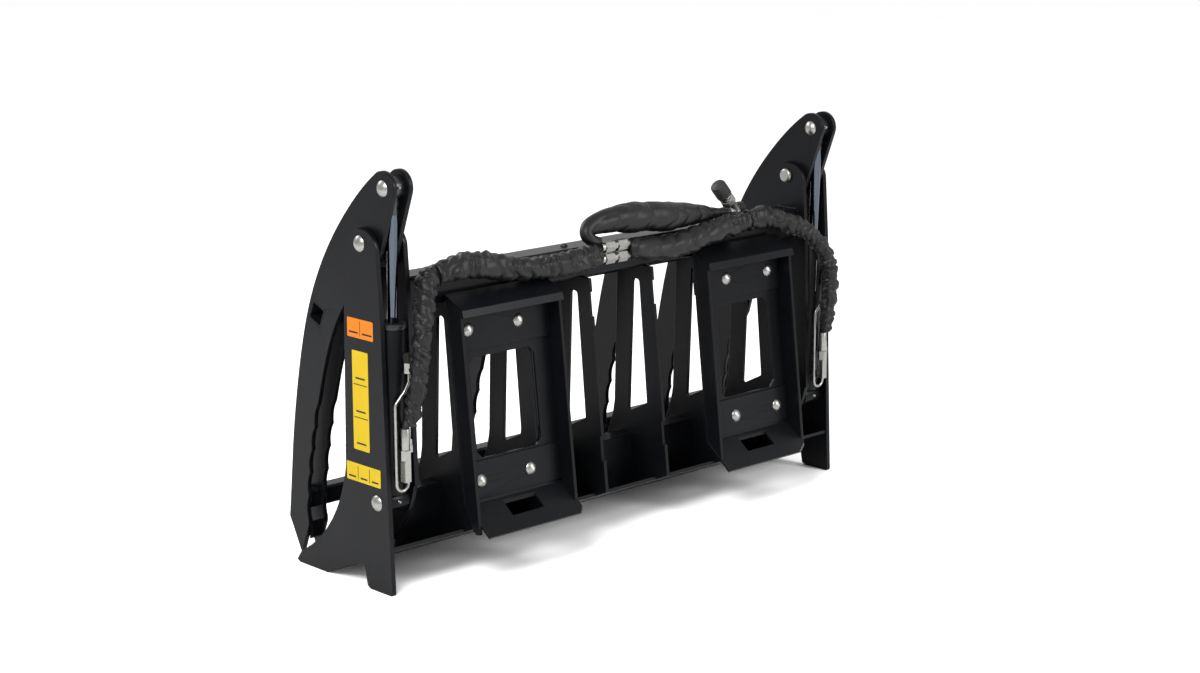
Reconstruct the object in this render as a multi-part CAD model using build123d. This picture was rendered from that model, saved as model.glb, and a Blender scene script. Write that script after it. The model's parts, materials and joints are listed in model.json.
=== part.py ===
from build123d import *
import math
import os

# Hydraulic grapple for a skid-steer loader. All sizes are in millimetres.
# X runs to the right as seen from behind, Y forward and Z up. While the parts are
# made, Y is measured from the rear edge of the feet; export moves Y to the middle.

# ---- driving sizes: frame ----
WIDTH = 1524.0            # over the outer faces of the two end plates
PLATE_T = 12.0            # end plates and arm plates
PAIR_W = 93.0             # over the outer faces of one end plate and its inner mate
ARM_GAP = 5.6             # between an end plate and the arm plate beside it
RIB_T = 9.5
RIB_PITCH = 212.4
RIB_COUNT = 6
FOOT_L = 91.0             # foot, along Y
LEAN = math.radians(6.7)  # rear edge of the ribs and the loader mount, top forward
RIB_REAR_Y = -16.0        # rear edge of a rib at the height of the lower mount bolts
MOUNT_Z = 231.0           # height of the lower mount bolts
RIB_TOP_Z = 650.0
RIB_FRONT_Y = 155.0
TUBE_SIDE = 76.0          # top tube, square
TUBE_WALL = 6.0
TUBE_REAR_Y = 52.0
FLOOR_T = 8.0
FLOOR_REAR = (8.0, 105.0)
FLOOR_BEND_Y = 245.0
FLOOR_FRONT_Y = 300.0
BEAM_REAR_Y = 96.0        # rear beam: an angle whose flange points forward
BEAM_TOP_Z = 207.0
BEAM_FLANGE = 50.0
BEAM_T = 8.0

# ---- driving sizes: pins and cylinders ----
PIVOT = (94.9, 811.7)
ROD_PIN = (29.4, 942.2)
BASE_PIN = (50.0, 213.0)
PIN_R = 15.9
HEAD_R = 19.0
HEAD_H = 9.0
CAP_RIM = 2.0              # straight rim of the rounded caps on the inboard pin ends
FIT = 0.05                # running clearance of a pin or rod, on the radius
SLIP = 0.1                # clearance of a fixed pin in its plate, on the radius
SIDE_GAP = 0.5            # clearance beside an eye, each side
BOSS_R = 40.0             # arm end round the rod pin
BARREL_R = 30.0
BARREL_WALL = 4.8
BARREL_TOP = 420.0        # gland face, from the base pin along the cylinder
GLAND_L = 42.0
ROD_R = 12.5
PISTON_L = 30.0
EYE_R = 25.0
JAW_OPEN = 95.0           # degrees from closed to fully open

# ---- driving sizes: jaw ----
TINE_T = 12.0
TINE_PITCH = 236.0
TINE_COUNT = 5
TINE_TOP_Z = 655.0
TIP = (369.0, 17.0)
TOOTH_PITCH = 60.0
TOOTH_DEPTH = 5.5
TOOTH_COUNT = 5
CROSS_TUBE = (284.0, 618.0)
CROSS_SIDE = 50.0
CROSS_WALL = 5.0
CROSS_TILT = 24.0
LOW_TUBE = (373.0, 150.0)
LOW_SIDE = 45.0

# ---- driving sizes: loader mount (one plate each side) ----
MOUNT_X = 434.0           # middle of the four bolts
BOLT_DX = 156.0
BOLT_DS = 358.0           # between the bolt rows, up the plate
MOUNT_IN = 106.0          # from the inner bolts to the plate's inboard edge
MOUNT_OUT = 52.0          # from the outer bolts to the plate's outboard edge
MOUNT_T = 6.4
BAR_T = 4.8
MOUNT_TOP = 448.0
MOUNT_LOW = -50.0
RAIL_T = 9.0
RAIL_D = 50.0
LIP_D = 61.0
LOW_LIP_D = 76.4
LOW_LIP_DROP = 70.0
LIP_FALL = 37.0           # drop of the top lip along its slope
LIP_NOSE = 18.0           # height of the top lip's folded front
SLOT_IN = 29.5            # from the bolt middle to the wedge slot, inboard
SLOT_W = 100.0
SLOT_BACK = 7.5           # wedge slot's start and end behind the plate
SLOT_FRONT = 39.5
STUB = 66.0               # how far the outboard rail reaches below the plate
WINDOW = (-79.0, 122.0, 52.0, 290.0)   # inboard is +, from the bolt middle; s low, s high
WINDOW_CHAMFER = 16.0
BOLT_R = 7.9
BOLT_HEAD_R = 16.5
BOLT_HEAD_H = 8.0
BACK_BAR_T = 6.0
BACK_BAR_W = 60.0

# ---- driving sizes: hoses ----
SLEEVE_R = 31.0           # fabric sleeve along the top tube
DROP_R = 21.0             # fabric sleeve down to a cylinder
SUPPLY_R = 28.0           # fabric sleeve round the supply hoses
HOSE_R = 9.5
STEEL_LINE_R = 4.0
SLEEVE_LEFT = [
    (-606, 13, 732), (-644, 4, 722), (-676, -14, 690), (-699, -28, 630), (-711, -34, 560),
    (-720, -33, 486), (-722, -21, 404),
]
SLEEVE_MIDDLE_LEFT = [
    (-596, 13, 734), (-538, 13, 741), (-470, 13, 731), (-384, 13, 714), (-290, 13, 704),
    (-190, 13, 702), (-96, 13, 711),
]
SLEEVE_MIDDLE_RIGHT = [
    (2, 13, 713), (94, 13, 700), (180, 12, 698), (262, 10, 712), (344, 12, 724), (430, 13, 730),
]
SLEEVE_RIGHT = [
    (440, 13, 730), (495, 13, 731), (556, 8, 714), (620, -6, 688), (676, -22, 641),
    (702, -34, 576), (702, -36, 506), (699, -28, 404),
]
SUPPLY_SLEEVE = [(-104, 42, 768), (-36, 42, 783), (60, 42, 781), (160, 42, 770), (262, 46, 764)]
SUPPLY_HOSES = [
    [(264, 35, 764), (322, 43, 760), (370, 53, 751), (406, 58, 748)],
    [(264, 57, 764), (330, 67, 758), (390, 88, 746), (436, 96, 745)],
]
COUPLER_TILT = 42.0       # lean of the standing coupler from upright, towards -X

# ---- derived places ----
HALF = WIDTH / 2
OUTER_IN = HALF - PLATE_T                 # inner face of an end plate
INNER_OUT = HALF - PAIR_W + PLATE_T       # outboard face of the inner mate
INNER_IN = HALF - PAIR_W
ARM_OUT = OUTER_IN - ARM_GAP              # outboard face of the outer arm plate
ARM_OUT_IN = ARM_OUT - PLATE_T
ARM_IN = INNER_OUT + ARM_GAP              # inboard face of the inner arm plate
ARM_IN_OUT = ARM_IN + PLATE_T
CYL_X = (OUTER_IN + INNER_OUT) / 2
RIB_XS = [(i - (RIB_COUNT - 1) / 2) * RIB_PITCH for i in range(RIB_COUNT)]
TINE_XS = [(i - (TINE_COUNT - 1) / 2) * TINE_PITCH for i in range(TINE_COUNT)]
SIDES = {"left": -1, "right": 1}

parts = {}


def add(node, solids):
    """Add solids to a node that groups several separate pieces."""
    parts.setdefault(node, []).extend(solids)


def outline(corners):
    """Closed face from (y, z, corner radius) triples."""
    edges = []
    spans = []
    count = len(corners)
    for i, (y, z, radius) in enumerate(corners):
        here = Vector(y, z)
        back = (Vector(*corners[i - 1][:2]) - here).normalized()
        ahead = (Vector(*corners[(i + 1) % count][:2]) - here).normalized()
        half = math.radians(back.get_angle(ahead)) / 2
        reach = radius / math.tan(half)
        middle = (back + ahead).normalized()
        dip = radius / math.sin(half) - radius
        spans.append((here + back * reach, here + middle * dip, here + ahead * reach, radius))
    for i, (start, mid, end, radius) in enumerate(spans):
        if radius > 0:
            edges.append(ThreePointArc(start, mid, end))
        following = spans[(i + 1) % count][0]
        if (following - end).length > 1e-6:
            edges.append(Line(end, following))
    return make_face(edges)


def slab(face, x_low, thickness):
    """Extrude a (y, z) face along +X from x_low."""
    return extrude(Plane.YZ.offset(x_low) * face, amount=thickness)


def disc(at, x_low, length, radius):
    """Cylinder along +X whose axis passes through at = (y, z)."""
    return slab(Pos(*at) * Circle(radius), x_low, length)


def hexagon(at, x_low, length, corner_r):
    """Hexagonal prism along +X."""
    return slab(Pos(*at) * RegularPolygon(corner_r, 6), x_low, length)


def dome(at, x_face, radius, height, way):
    """Round domed head standing on the plane x_face, towards way (+1 or -1)."""
    ball_r = (radius ** 2 + height ** 2) / (2 * height)
    ball = Pos(x_face + way * (height - ball_r), *at) * Sphere(ball_r)
    keep = disc(at, min(x_face, x_face + way * (height + 1)), height + 1, radius + 1)
    return ball & keep


def low_line(y):
    """Height of the floor's underside at y, behind its bend."""
    run = FLOOR_BEND_Y - FLOOR_REAR[0]
    return FLOOR_REAR[1] * (FLOOR_BEND_Y - y) / run


def rear_line(z):
    """Rear edge of a rib at height z."""
    return RIB_REAR_Y + (z - MOUNT_Z) * math.tan(LEAN)


def toe_edges(front_y):
    """Upper edge of a toe, from the front edge of its plate down to the tip."""
    return [
        ThreePointArc((front_y + 8, 285), (213, 150), (322, 44)),
        Line((322, 44), (345, 31)),
        Line((345, 31), (364, 6)),
        Line((364, 6), (352, 0)),
        Line((352, 0), (FLOOR_BEND_Y, 0)),
    ]


# ---- frame ----
def end_plate_face():
    """End plate with its foot, rounded top and toe, in (y, z)."""
    top_y, top_z = PIVOT
    upper = outline([
        (14, 331, 0),
        (24, 640, 0),
        (top_y - 56, top_z + 30, 44),
        (top_y + 36, top_z + 36, 34),
        (156, 655, 60),
        (163, 285, 0),
        (163, 230, 0),
        (10, 230, 0),
    ])
    lower = make_face(toe_edges(155) + [
        Line((FLOOR_BEND_Y, 0), (161, 38)),
        Line((161, 38), (101, 57)),
        Line((101, 57), (FOOT_L, 6)),
        Line((FOOT_L, 6), (FOOT_L - 12, 0)),
        Line((FOOT_L - 12, 0), (4, 0)),
        Line((4, 0), (0, 4)),
        Line((0, 4), (14, 331)),
        Line((14, 331), (163, 331)),
        Line((163, 331), (163, 285)),
    ])
    return upper + lower


def inner_plate_face():
    """Inner mate of the end plate: no foot, its rear edge swept forward below."""
    cut = make_face([
        Line((-20, -10), (112, -10)),
        Line((112, -10), (112, 88)),
        ThreePointArc((112, 88), (62, 140), (15, 245)),
        Line((15, 245), (-20, 245)),
        Line((-20, 245), (-20, -10)),
    ])
    below = Polygon((-20, low_line(-20)), (FLOOR_BEND_Y, 0), (FLOOR_BEND_Y, -20), (-20, -20), align=None)
    return end_plate_face() - cut - below


def floor_solid():
    """Floor plate: slopes down to its bend, then runs level to its front edge."""
    slope = math.atan2(FLOOR_REAR[1], FLOOR_BEND_Y - FLOOR_REAR[0])
    lift = FLOOR_T / math.cos(slope)
    bend_in = FLOOR_T * math.tan(slope / 2)
    face = outline([
        (FLOOR_REAR[0], FLOOR_REAR[1], 0),
        (FLOOR_BEND_Y, 0, 0),
        (FLOOR_FRONT_Y, 0, 0),
        (FLOOR_FRONT_Y, FLOOR_T, 0),
        (FLOOR_BEND_Y + bend_in, FLOOR_T, 0),
        (FLOOR_REAR[0], FLOOR_REAR[1] + lift, 0),
    ])
    return slab(face, -OUTER_IN, 2 * OUTER_IN)


def beam_solid(floor):
    """Rear beam: an angle that stands on the floor plate."""
    face = outline([
        (BEAM_REAR_Y, 0, 0),
        (BEAM_REAR_Y, BEAM_TOP_Z, 6),
        (BEAM_REAR_Y + BEAM_FLANGE, BEAM_TOP_Z, 0),
        (BEAM_REAR_Y + BEAM_FLANGE, BEAM_TOP_Z - BEAM_T, 0),
        (BEAM_REAR_Y + BEAM_T, BEAM_TOP_Z - BEAM_T, 0),
        (BEAM_REAR_Y + BEAM_T, 0, 0),
    ])
    bar = slab(face, -INNER_IN, 2 * INNER_IN)
    under = outline([
        (FLOOR_REAR[0], FLOOR_REAR[1], 0),
        (FLOOR_BEND_Y, 0, 0),
        (FLOOR_BEND_Y, -50, 0),
        (FLOOR_REAR[0], -50, 0),
    ])
    return bar - floor - slab(under, -INNER_IN, 2 * INNER_IN)


def back_bars():
    """Four flat bars let into the rear edges of the ribs, behind which the mounts bolt."""
    bars = {}
    for side, sign in SIDES.items():
        group = []
        for row in (0, BOLT_DS):
            box = Box(MOUNT_IN + MOUNT_OUT + BOLT_DX - 4, BACK_BAR_W, BACK_BAR_T)
            middle = sign * (MOUNT_X - (MOUNT_IN - MOUNT_OUT) / 2)
            group.append(mount_plane(middle, 0) * Pos(0, row, -BACK_BAR_T / 2) * box)
        bars[side] = group
    return bars


def rib_face():
    """A-shaped rib with its toe, in (y, z)."""
    corner = rear_line(122)
    body = make_face(toe_edges(RIB_FRONT_Y) + [
        Line((FLOOR_BEND_Y, 0), (corner, low_line(corner))),
        Line((corner, low_line(corner)), (rear_line(RIB_TOP_Z), RIB_TOP_Z)),
        Line((rear_line(RIB_TOP_Z), RIB_TOP_Z), (RIB_FRONT_Y - 2, RIB_TOP_Z)),
        Line((RIB_FRONT_Y - 2, RIB_TOP_Z), (RIB_FRONT_Y + 8, 285)),
    ])
    hole = outline([(112, 264, 5), (45, 298, 5), (75, 612, 9), (99, 614, 9)])
    return body - hole


# ---- loader mount ----
def mount_plane(x, depth):
    """Plane on the ribs' rear edges: local x is X, y runs up the plate, z points back."""
    back = (0, -math.cos(LEAN), math.sin(LEAN))
    origin = Vector(x, RIB_REAR_Y, MOUNT_Z) + Vector(*back) * depth
    return Plane(origin=origin, x_dir=(1, 0, 0), z_dir=back)


def mount_box(x_low, x_high, s_low, s_high, d_low, d_high):
    """Box given by its limits across, up and behind the mount plane."""
    size = Box(x_high - x_low, s_high - s_low, d_high - d_low)
    middle = Pos((x_low + x_high) / 2, (s_low + s_high) / 2, (d_low + d_high) / 2)
    return mount_plane(0, 0) * middle * size


def side_span(sign, inward_low, inward_high):
    """X limits of a stretch given from the bolt middle, inboard positive."""
    ends = [sign * (MOUNT_X - inward_low), sign * (MOUNT_X - inward_high)]
    return min(ends), max(ends)


def ds_slab(points, x_low, x_high):
    """Prism along X from (depth, s) corners behind the mount plane."""
    place = Plane(
        origin=mount_plane(x_low, 0).origin,
        x_dir=mount_plane(0, 0).z_dir,
        z_dir=(-1, 0, 0),
    )
    return extrude(place * Polygon(*points, align=None), amount=x_high - x_low, dir=(1, 0, 0))


def mount_plate(sign):
    """Folded plate: sloping top lip, flat face with a window, and slotted wedge lip."""
    half = BOLT_DX / 2
    x_low, x_high = side_span(sign, -half - MOUNT_OUT, half + MOUNT_IN)
    lip_low = x_low + (RAIL_T if sign < 0 else 0)
    lip_high = x_high - (RAIL_T if sign > 0 else 0)
    plate = mount_box(x_low, x_high, MOUNT_LOW, MOUNT_TOP - 9, 0, MOUNT_T)
    top_lip = ds_slab([
        (0, MOUNT_TOP - 13),
        (0, MOUNT_TOP),
        (LIP_D - 3, MOUNT_TOP - LIP_FALL),
        (LIP_D, MOUNT_TOP - LIP_FALL - LIP_NOSE),
        (LIP_D - 7, MOUNT_TOP - LIP_FALL - LIP_NOSE),
        (LIP_D - 9.5, under_lip(LIP_D - 9.5)),
        (MOUNT_T, under_lip(MOUNT_T)),
    ], x_low, x_high)
    tip_s = MOUNT_LOW - LOW_LIP_DROP
    low_lip = ds_slab([
        (0, MOUNT_LOW),
        (MOUNT_T, MOUNT_LOW),
        (LOW_LIP_D, tip_s),
        (LOW_LIP_D - 4.5, tip_s - 4.5),
        (0, MOUNT_LOW - 2.7),
    ], lip_low, lip_high)
    w_low, w_high = side_span(sign, WINDOW[0], WINDOW[1])
    opening = Rectangle(w_high - w_low, WINDOW[3] - WINDOW[2])
    opening = chamfer(opening.vertices(), WINDOW_CHAMFER)
    middle = Pos((w_low + w_high) / 2, (WINDOW[2] + WINDOW[3]) / 2, 0)
    window = extrude(mount_plane(0, -1) * middle * opening, amount=MOUNT_T + 2)
    mid_low, mid_high = side_span(sign, SLOT_IN - SLOT_W / 2, SLOT_IN + SLOT_W / 2)
    slot = mount_box(mid_low, mid_high, tip_s, MOUNT_LOW, MOUNT_T + SLOT_BACK, MOUNT_T + SLOT_FRONT)
    plate = plate + top_lip + low_lip - window - slot
    outboard, inboard = (lip_high, lip_low) if sign > 0 else (lip_low, lip_high)
    plate -= lip_corner(outboard, -sign, 42, 18)
    plate -= lip_corner(inboard, sign, 20, 13)
    return plate - bolt_holes(sign, -1, MOUNT_T + 1)


def under_lip(depth):
    """Height s of the top lip's underside at a depth."""
    return MOUNT_TOP - 8.3 - depth * LIP_FALL / (LIP_D - 3)


def lip_corner(x_edge, way, along_x, along_d):
    """Triangular prism that trims one rear corner of the wedge lip."""
    corner = Polygon((-way, 1), (way * along_x, 1), (-way, -along_d), align=None)
    place = Plane(
        origin=mount_plane(x_edge, LOW_LIP_D).origin,
        x_dir=(1, 0, 0),
        z_dir=mount_plane(0, 0).y_dir * -1,
    )
    return extrude(place * corner, amount=2 * LOW_LIP_DROP)


def mount_rails(sign):
    """Two deep side rails under the top lip; the inboard one stands on the wedge lip."""
    half = BOLT_DX / 2
    x_low, x_high = side_span(sign, -half - MOUNT_OUT, half + MOUNT_IN)
    top = [(RAIL_D, under_lip(RAIL_D) - 0.2), (MOUNT_T, under_lip(MOUNT_T) - 0.2)]
    lip_s = MOUNT_LOW - (RAIL_D - MOUNT_T) * LOW_LIP_DROP / (LOW_LIP_D - MOUNT_T)
    inner = ds_slab([(MOUNT_T, MOUNT_LOW + 0.2), (RAIL_D, lip_s + 0.2)] + top, 0, RAIL_T)
    low = MOUNT_LOW - STUB
    outer = ds_slab([(MOUNT_T, MOUNT_LOW - 24), (RAIL_D - 14, low), (RAIL_D, low)] + top, 0, RAIL_T)
    left, right = (outer, inner) if sign < 0 else (inner, outer)
    return [Pos(x_low, 0, 0) * left, Pos(x_high - RAIL_T, 0, 0) * right]


def mount_bars(sign):
    """Upper and lower facing bars between the rails."""
    half = BOLT_DX / 2
    x_low, x_high = side_span(sign, -half - MOUNT_OUT, half + MOUNT_IN)
    x_low, x_high = x_low + RAIL_T, x_high - RAIL_T
    holes = bolt_holes(sign, MOUNT_T - 1, MOUNT_T + BAR_T + 1)
    low = mount_box(x_low, x_high, MOUNT_LOW + 8, 47, MOUNT_T, MOUNT_T + BAR_T) - holes
    top = mount_box(x_low, x_high, 307, MOUNT_TOP - 40, MOUNT_T, MOUNT_T + BAR_T) - holes
    return [low, top]


def bolt_places(sign):
    """Middle of each mount bolt as (x, s)."""
    xs = [sign * MOUNT_X - BOLT_DX / 2, sign * MOUNT_X + BOLT_DX / 2]
    return [(x, s) for x in xs for s in (0, BOLT_DS)]


def bolt_holes(sign, d_low, d_high):
    """Cylinders for the mount bolts between two depths."""
    tools = []
    for x, s in bolt_places(sign):
        tool = Cylinder(BOLT_R + SLIP, d_high - d_low, align=(Align.CENTER, Align.CENTER, Align.MIN))
        tools.append(mount_plane(x, d_low) * Pos(0, s, 0) * tool)
    return tools


def mount_fasteners(sign):
    """Carriage bolts and their nuts."""
    bolts = []
    nuts = []
    bearing = MOUNT_T + BAR_T
    nut_h = 13.0
    low_end = Align.CENTER, Align.CENTER, Align.MIN
    for x, s in bolt_places(sign):
        here = mount_plane(x, 0) * Pos(0, s, 0)
        shank = Pos(0, 0, -BACK_BAR_T - nut_h - 4) * Cylinder(
            BOLT_R, bearing + BACK_BAR_T + nut_h + 4, align=low_end)
        ball_r = (BOLT_HEAD_R ** 2 + BOLT_HEAD_H ** 2) / (2 * BOLT_HEAD_H)
        ball = Pos(0, 0, bearing + BOLT_HEAD_H - ball_r) * Sphere(ball_r)
        cap = ball & Pos(0, 0, bearing) * Cylinder(BOLT_HEAD_R + 1, BOLT_HEAD_H + 1, align=low_end)
        bolts.append(here * (shank + cap))
        nut = extrude(RegularPolygon(13.8, 6) - Circle(BOLT_R + SLIP), amount=nut_h)
        nuts.append(here * Pos(0, 0, -BACK_BAR_T - nut_h) * nut)
    return bolts, nuts


def frame_parts():
    """Every welded and bolted piece of the fixed frame."""
    pin_hole = Pos(*PIVOT) * Circle(PIN_R + SLIP) + Pos(*BASE_PIN) * Circle(PIN_R + SLIP)
    outer = end_plate_face() - pin_hole
    inner = inner_plate_face() - pin_hole
    floor = floor_solid()
    beam = beam_solid(floor)
    bars = back_bars()
    parts["end_plate_left"] = slab(outer, -HALF, PLATE_T)
    parts["end_plate_right"] = slab(outer, OUTER_IN, PLATE_T)
    parts["inner_plate_left"] = slab(inner, -INNER_OUT, PLATE_T) - floor
    parts["inner_plate_right"] = slab(inner, INNER_IN, PLATE_T) - floor
    rib = slab(rib_face(), -RIB_T / 2, RIB_T)
    rib = rib - floor - beam
    for row in (0, BOLT_DS):
        notch = Box(RIB_T + 2, BACK_BAR_W, 2 * BACK_BAR_T)
        rib = rib - mount_plane(0, 0) * Pos(0, row, 0) * notch
    for number, x in enumerate(RIB_XS, 1):
        parts[f"rib_{number}"] = Pos(x, 0, 0) * rib
    parts["floor_plate"] = floor
    parts["rear_beam"] = beam
    tube = outline([
        (TUBE_REAR_Y, RIB_TOP_Z, 8),
        (TUBE_REAR_Y, RIB_TOP_Z + TUBE_SIDE, 8),
        (TUBE_REAR_Y + TUBE_SIDE, RIB_TOP_Z + TUBE_SIDE, 8),
        (TUBE_REAR_Y + TUBE_SIDE, RIB_TOP_Z, 8),
    ])
    parts["top_tube"] = slab(tube - offset(tube, -TUBE_WALL), -INNER_IN, 2 * INNER_IN)
    for side, sign in SIDES.items():
        holes = bolt_holes(sign, -BACK_BAR_T - 1, 1)
        add("back_bars", [bar - holes for bar in bars[side]])
        parts[f"mount_plate_{side}"] = mount_plate(sign)
        add("mount_rails", mount_rails(sign))
        add("mount_bars", mount_bars(sign))
        bolts, nuts = mount_fasteners(sign)
        add("mount_bolts", bolts)
        add("mount_nuts", nuts)


def pin_set(at, sign, out_face, in_face):
    """Pin with a domed head outboard and a domed cap inboard."""
    low, high = sorted((sign * out_face, sign * in_face))
    pin = disc(at, low, high - low, PIN_R) + dome(at, sign * out_face, HEAD_R, HEAD_H, sign)
    cap = disc(at, sign * in_face if sign < 0 else in_face - HEAD_H, HEAD_H, HEAD_R)
    rims = cap.edges().filter_by(GeomType.CIRCLE).sort_by(Axis.X)
    cap = fillet(rims[0 if sign > 0 else -1], HEAD_H - CAP_RIM)
    return pin, cap


def frame_pins():
    """Pivot and base pins with their caps."""
    for sign in SIDES.values():
        for at in (PIVOT, BASE_PIN):
            pin, cap = pin_set(at, sign, HALF, INNER_IN)
            add("hinge_pins", [pin])
            add("hinge_pin_caps", [cap])


# ---- jaw ----
def arm_front():
    """Convex front edge of an arm, top to bottom."""
    y, z = ROD_PIN
    return Spline(
        (y + 22, z + 33.4), (159, 880), (246, 769), (309, 648), (354, 500), (387, 327), (414, 100),
        tangents=[(0.8, -0.55), (0.12, -1)],
    )


def arm_back():
    """Concave gripping edge of an arm, bottom to top."""
    return Spline(
        (338, 92), (330, 210), (303, 345), (257, 505), (179, 655),
        tangents=[(0, 1), (-0.62, 0.78)],
    )


def arm_face():
    """Whole arm plate: lever end, pivot boss, claw and tip, without its holes."""
    front = arm_front()
    back = arm_back()
    y, z = ROD_PIN
    shape = make_face([
        front,
        Line(front @ 1, TIP),
        Line(TIP, back @ 0),
        back,
        Line(back @ 1, (PIVOT[0] + 50, PIVOT[1] - 45)),
        ThreePointArc(
            (PIVOT[0] + 50, PIVOT[1] - 45),
            (PIVOT[0], PIVOT[1] - 62),
            (PIVOT[0] - 56, PIVOT[1] - 12),
        ),
        Line((PIVOT[0] - 56, PIVOT[1] - 12), (y - 36.5, z - 16)),
        ThreePointArc((y - 36.5, z - 16), (y - 24, z + 32), front @ 0),
    ])
    return shape - teeth_cut(back)


def teeth_cut(back):
    """Saw-tooth nicks along the lower part of the gripping edge."""
    nicks = []
    length = back.length
    for i in range(TOOTH_COUNT):
        start = back.position_at((12 + i * TOOTH_PITCH) / length)
        low = back.position_at((12 + (i + 0.62) * TOOTH_PITCH) / length)
        end = back.position_at((12 + (i + 1) * TOOTH_PITCH) / length)
        along = (end - start).normalized()
        inward = Vector(along.Y, -along.X)
        nicks.append(make_face([
            Spline(start, low + inward * TOOTH_DEPTH, end),
            Line(end, end - inward * 4),
            Line(end - inward * 4, start - inward * 4),
            Line(start - inward * 4, start),
        ]))
    return nicks


def cross_face(side_length, radius):
    """Square tube section turned to lie along the arm."""
    return Pos(*CROSS_TUBE) * Rot(0, 0, CROSS_TILT) * RectangleRounded(side_length, side_length, radius)


def low_face(side_length, radius):
    """Section of the lower jaw tube."""
    return Pos(*LOW_TUBE) * RectangleRounded(side_length, side_length, radius)


def jaw_parts():
    """Arms, tines, cross tubes and the pieces fixed to them."""
    upper_hole = cross_face(CROSS_SIDE, 6)
    tube_holes = upper_hole + low_face(LOW_SIDE, 6)
    arm = arm_face() - upper_hole
    arm -= Pos(*PIVOT) * Circle(PIN_R + 6) + Pos(*ROD_PIN) * Circle(PIN_R + SLIP)
    top_trim = Polygon((-99, TINE_TOP_Z), (500, TINE_TOP_Z), (500, 1200), (-99, 1200), align=None)
    tine = arm_face() - tube_holes - top_trim
    names = {"outer": (-ARM_OUT, ARM_OUT_IN), "inner": (-ARM_IN_OUT, ARM_IN)}
    for which, (left_low, right_low) in names.items():
        plate = arm if which == "outer" else arm - low_face(LOW_SIDE, 6)
        parts[f"arm_{which}_left"] = slab(plate, left_low, PLATE_T)
        parts[f"arm_{which}_right"] = slab(plate, right_low, PLATE_T)
    for number, x in enumerate(TINE_XS, 1):
        parts[f"jaw_tine_{number}"] = slab(tine, x - TINE_T / 2, TINE_T)
    cross = cross_face(CROSS_SIDE, 6) - cross_face(CROSS_SIDE - 2 * CROSS_WALL, 2)
    parts["jaw_cross_tube"] = slab(cross, -ARM_OUT, 2 * ARM_OUT)
    low = low_face(LOW_SIDE, 6) - low_face(LOW_SIDE - 2 * CROSS_WALL, 2)
    parts["jaw_lower_tube"] = slab(low, -ARM_OUT_IN, 2 * ARM_OUT_IN)
    gap = ARM_OUT_IN - ARM_IN_OUT
    for sign in SIDES.values():
        low_x = min(sign * ARM_OUT_IN, sign * ARM_IN_OUT)
        hub = disc(PIVOT, low_x, gap, PIN_R + 14) - disc(PIVOT, low_x, gap, PIN_R + 6)
        add("arm_spacers", [hub, toe_block(low_x, gap)])
        bush_x = min(sign * ARM_OUT, sign * ARM_IN)
        width = ARM_OUT - ARM_IN
        bush = disc(PIVOT, bush_x, width, PIN_R + 6) - disc(PIVOT, bush_x, width, PIN_R + FIT)
        add("pivot_bushes", [bush])
        add("rod_pin_ends", rod_pin_ends(sign))


def toe_block(low_x, gap):
    """Closing plate between the two plates of an arm, behind the tip."""
    face = Polygon((340, 58), (352, 52), (352, 92), (340, 100), align=None)
    return slab(face, low_x, gap)


def rod_pin_ends(sign):
    """The two ends of the rod pin, each filling its arm plate, with head and nut."""
    outer_low = min(sign * ARM_OUT, sign * ARM_OUT_IN)
    outer = disc(ROD_PIN, outer_low, PLATE_T, PIN_R)
    outer += dome(ROD_PIN, sign * ARM_OUT, HEAD_R, HEAD_H, sign)
    inner_low = min(sign * ARM_IN, sign * ARM_IN_OUT)
    inner = disc(ROD_PIN, inner_low, PLATE_T, PIN_R)
    inner += dome(ROD_PIN, sign * ARM_IN, HEAD_R, HEAD_H, -sign)
    return [outer, inner]


# ---- cylinders ----
def cylinder_plane(x):
    """Plane at the base pin: local z runs along the cylinder, local x is X."""
    along = Vector(0, ROD_PIN[0] - BASE_PIN[0], ROD_PIN[1] - BASE_PIN[1])
    return Plane(origin=(x, BASE_PIN[0], BASE_PIN[1]), x_dir=(1, 0, 0), z_dir=along)


def tube_between(low, high, outer, inner=0):
    """Round bar or tube along local z."""
    ring = Circle(outer) - Circle(inner) if inner else Circle(outer)
    return Pos(0, 0, low) * extrude(ring, amount=high - low)


def cross_bore(height, radius, length):
    """Cylinder along local x at a height on the cylinder's axis."""
    return Pos(0, 0, height) * Rot(0, 90, 0) * Cylinder(radius, length)


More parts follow.
